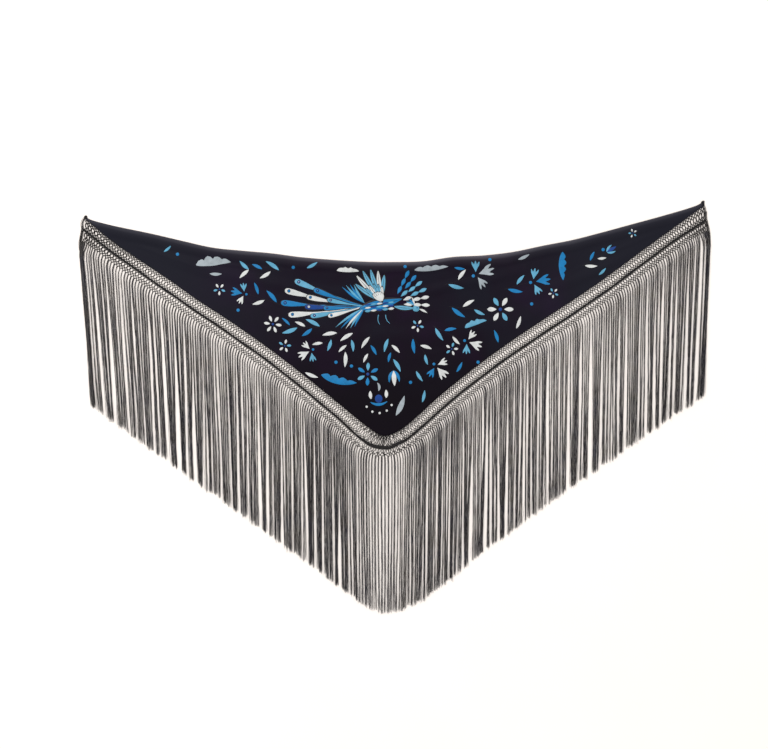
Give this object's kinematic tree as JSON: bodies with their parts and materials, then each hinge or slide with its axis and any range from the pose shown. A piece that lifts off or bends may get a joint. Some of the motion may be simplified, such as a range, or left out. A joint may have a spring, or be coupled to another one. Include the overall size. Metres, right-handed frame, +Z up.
{
  "type": "triangular shawl",
  "caption": "Triangular shawl of thin black silk with a knotted net border and a long fringe on its two short edges, laid flat.",
  "frame": {"origin": "on the table, under the middle of the whole shawl as laid", "axes": "+X to the wearer's side tip at the right of the picture, +Y towards the long top edge, +Z up off the table"},
  "size_m": [1.6186, 1.056, 0.0074],
  "materials": {
    "silk_cloth": "satin",
    "net_yarn": "matte",
    "cord_yarn": "matte",
    "fringe_yarn": "matte"
  },
  "bodies": {
    "root": {"cloth": "silk_cloth", "net_upper_left": "net_yarn", "net_upper_right": "net_yarn", "cord_row_left": "cord_yarn", "cord_row_right": "cord_yarn", "net_lower_left": "net_yarn", "net_lower_right": "net_yarn", "fringe_left": "fringe_yarn", "fringe_right": "fringe_yarn"}
  },
  "joints": []
}
